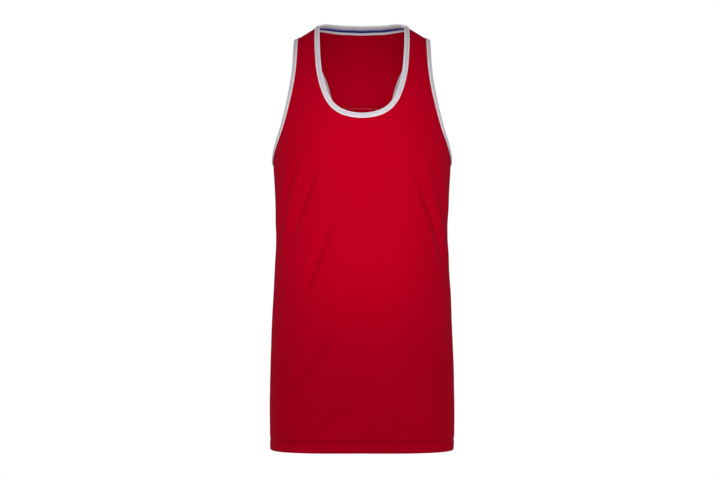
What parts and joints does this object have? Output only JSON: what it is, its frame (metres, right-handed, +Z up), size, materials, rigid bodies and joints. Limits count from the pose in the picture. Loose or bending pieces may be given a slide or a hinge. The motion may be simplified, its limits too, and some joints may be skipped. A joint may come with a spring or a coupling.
{
  "type": "boxing vest",
  "caption": "Sleeveless racerback boxing vest, worn shape and hollow, with bound neck and armholes, neck tape and turned-up hem.",
  "frame": {"origin": "middle of the shoulder line, level with the underside of the middle of each shoulder strap, where the wearer's shoulders hold the vest up", "axes": "+Z up, the front of the vest faces -Y, +X is the wearer's left"},
  "size_m": [0.35, 0.2374, 0.8058],
  "materials": {
    "red_knit": "smooth red polyester interlock knit with a slight sheen",
    "white_binding": "white ribbed knit binding, matt",
    "striped_tape": "white woven tape with a navy blue middle stripe"
  },
  "bodies": {
    "root": {"front_panel": "red_knit", "back_panel": "red_knit", "back_patch": "red_knit", "neck_binding": "white_binding", "left_armhole_binding": "white_binding", "right_armhole_binding": "white_binding", "neck_tape": "striped_tape"}
  },
  "joints": []
}
